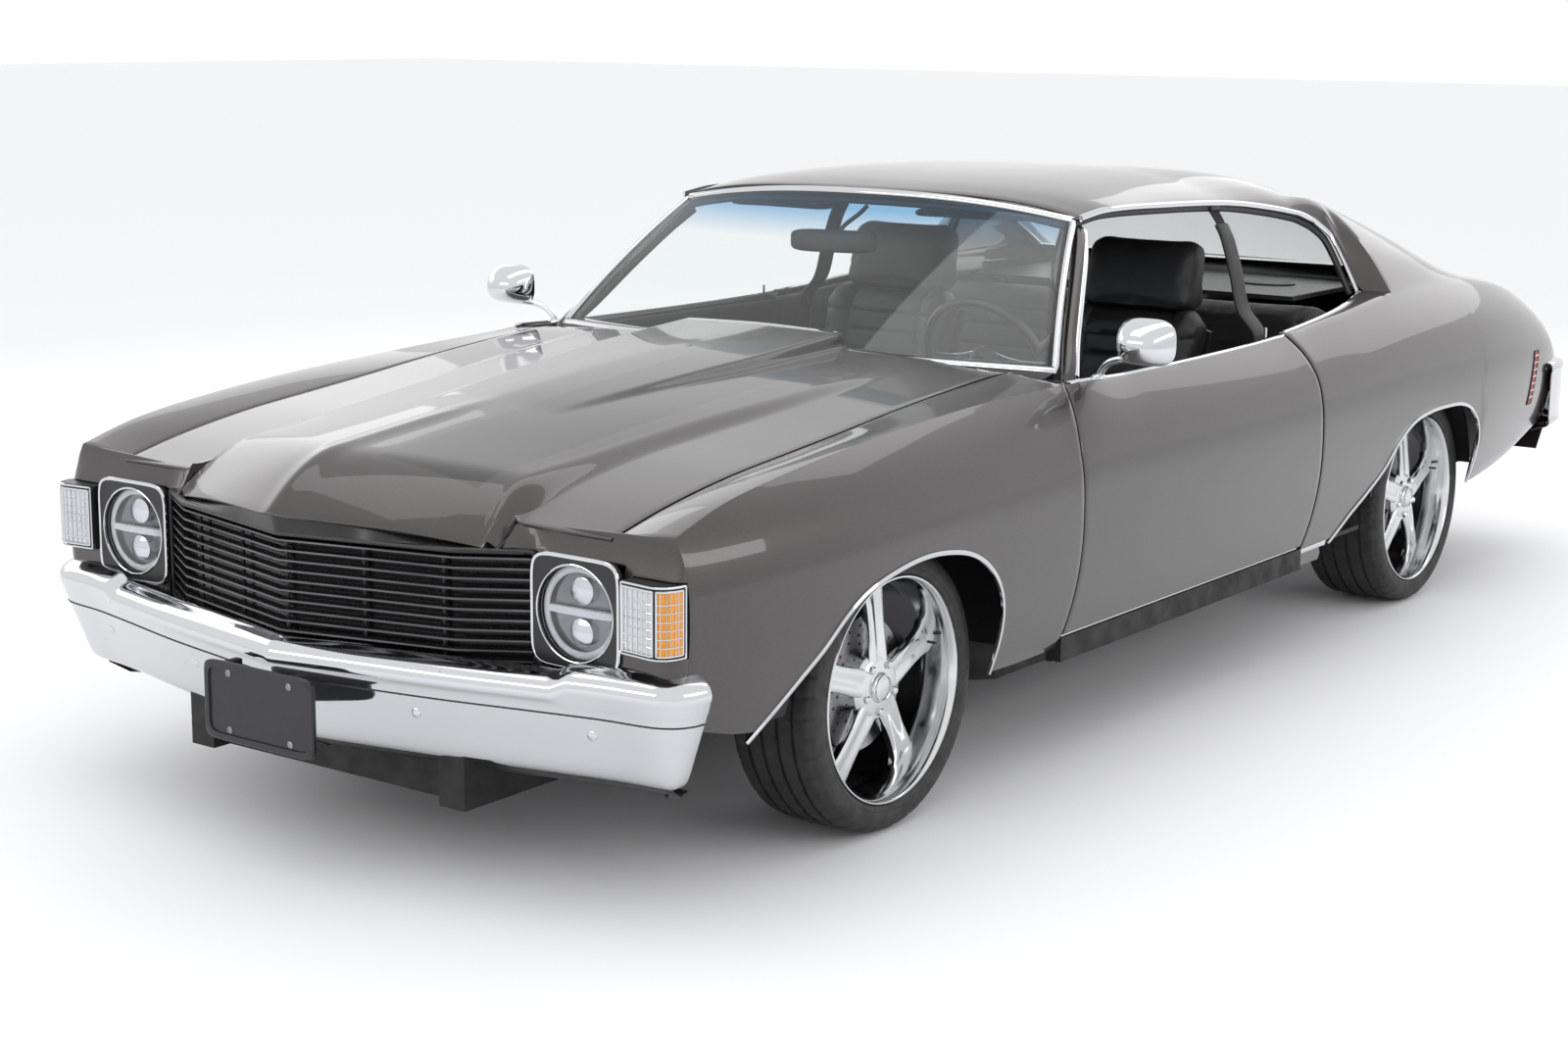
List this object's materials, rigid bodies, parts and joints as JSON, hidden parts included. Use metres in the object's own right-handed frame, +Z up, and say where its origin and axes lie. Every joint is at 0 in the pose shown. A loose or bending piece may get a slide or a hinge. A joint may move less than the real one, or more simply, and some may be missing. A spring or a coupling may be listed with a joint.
{
  "type": "muscle car",
  "caption": "Two-door hardtop muscle car with opening doors, hood and trunk lid, steering front wheels and a hollow furnished cabin.",
  "frame": {"origin": "on the ground under the middle of the car's length and width", "axes": "+Y towards the tail, the nose points along -Y, +X is the car's left side, +Z up"},
  "size_m": [2.132, 5.046, 1.336],
  "materials": {
    "paint": "gloss metallic",
    "black_steel": "satin",
    "black_plastic": "matte",
    "chrome": "polished",
    "lamp_glass": "clear",
    "amber": "gloss",
    "red_lens": "gloss",
    "glass": "clear",
    "vinyl": "satin",
    "webbing": "woven",
    "iron": "rough",
    "pipe_steel": "satin",
    "tyre": "matte",
    "aluminium": "polished"
  },
  "bodies": {
    "body": {"frame": "black_steel", "floor_pan": "black_steel", "firewall": "black_steel", "trunk_floor": "black_steel", "wheelhouses": "black_steel", "engine": "iron", "drivetrain": "iron", "rear_axle": "black_steel", "exhaust": "pipe_steel", "fuel_tank": "black_steel", "front_suspension": "black_steel", "radiator": "black_steel", "cowl": "black_steel", "windshield_frame": "paint", "roof": "paint", "sail_panels": "paint", "quarter_left": "paint", "quarter_right": "paint", "side_trim": "black_plastic", "rear_deck": "paint", "tail_panel": "paint", "fender_left": "paint", "fender_right": "paint", "header_panel": "paint", "front_bumper": "chrome", "plate_bracket": "black_steel", "rear_bumper": "chrome", "grille": "black_plastic", "headlights": "lamp_glass", "corner_lamps": "amber", "tail_lamps": "red_lens", "windshield": "glass", "rear_glass": "glass", "dashboard": "black_plastic", "steering_column": "black_plastic", "seat_left": "vinyl", "seat_right": "vinyl", "rear_seat": "vinyl", "parcel_shelf": "black_plastic", "inside_mirror": "black_plastic", "seat_belts": "webbing"},
    "door_left": {"door_left": "paint", "mirror_left": "chrome"},
    "door_right": {"door_right": "paint", "mirror_right": "chrome"},
    "hood": {"hood": "paint"},
    "trunk_lid": {"trunk_lid": "paint"},
    "steering_wheel": {"steering_wheel": "black_plastic"},
    "knuckle_left": {"knuckle_left": "iron"},
    "knuckle_right": {"knuckle_right": "iron"},
    "wheel_fl": {"tyre_fl": "tyre", "wheel_fl": "aluminium"},
    "wheel_fr": {"tyre_fr": "tyre", "wheel_fr": "aluminium"},
    "wheel_rl": {"tyre_rl": "tyre", "wheel_rl": "aluminium"},
    "wheel_rr": {"tyre_rr": "tyre", "wheel_rr": "aluminium"}
  },
  "joints": [
    {"name": "door_left_hinge", "type": "hinge", "parent": "body", "child": "door_left", "pos_m": [0.9525, -0.832, 0.6], "axis": [0, 0, -1], "range_deg": [0, 65]},
    {"name": "door_right_hinge", "type": "hinge", "parent": "body", "child": "door_right", "pos_m": [-0.9525, -0.832, 0.6], "axis": [0, 0, 1], "range_deg": [0, 65]},
    {"name": "hood_hinge", "type": "hinge", "parent": "body", "child": "hood", "pos_m": [0, -0.834, 0.89676], "axis": [-1, 0, 0], "range_deg": [0, 50]},
    {"name": "trunk_hinge", "type": "hinge", "parent": "body", "child": "trunk_lid", "pos_m": [0, 1.641, 0.92784], "axis": [1, 0, 0], "range_deg": [0, 65]},
    {"name": "steer_left", "type": "hinge", "parent": "body", "child": "knuckle_left", "pos_m": [0.6875, -1.489, 0.316], "axis": [0, 0, 1], "range_deg": [-32, 32]},
    {"name": "steer_right", "type": "hinge", "parent": "body", "child": "knuckle_right", "pos_m": [-0.6875, -1.489, 0.316], "axis": [0, 0, 1], "range_deg": [-32, 32]},
    {"name": "steering_wheel_turn", "type": "hinge", "parent": "body", "child": "steering_wheel", "pos_m": [0.37, -0.347, 0.87], "axis": [0, 0.9063, 0.4226], "range_deg": [-390, 390]},
    {"name": "wheel_fl_spin", "type": "hinge", "parent": "knuckle_left", "child": "wheel_fl", "pos_m": [0.7915, -1.489, 0.316], "axis": [1, 0, 0], "continuous": true},
    {"name": "wheel_fr_spin", "type": "hinge", "parent": "knuckle_right", "child": "wheel_fr", "pos_m": [-0.7915, -1.489, 0.316], "axis": [1, 0, 0], "continuous": true},
    {"name": "wheel_rl_spin", "type": "hinge", "parent": "body", "child": "wheel_rl", "pos_m": [0.7915, 1.356, 0.316], "axis": [1, 0, 0], "continuous": true},
    {"name": "wheel_rr_spin", "type": "hinge", "parent": "body", "child": "wheel_rr", "pos_m": [-0.7915, 1.356, 0.316], "axis": [1, 0, 0], "continuous": true}
  ],
  "couplings": [
    {"joint": "steer_right", "follows": "steer_left", "ratio": 1},
    {"joint": "steering_wheel_turn", "follows": "steer_left", "ratio": 12}
  ]
}
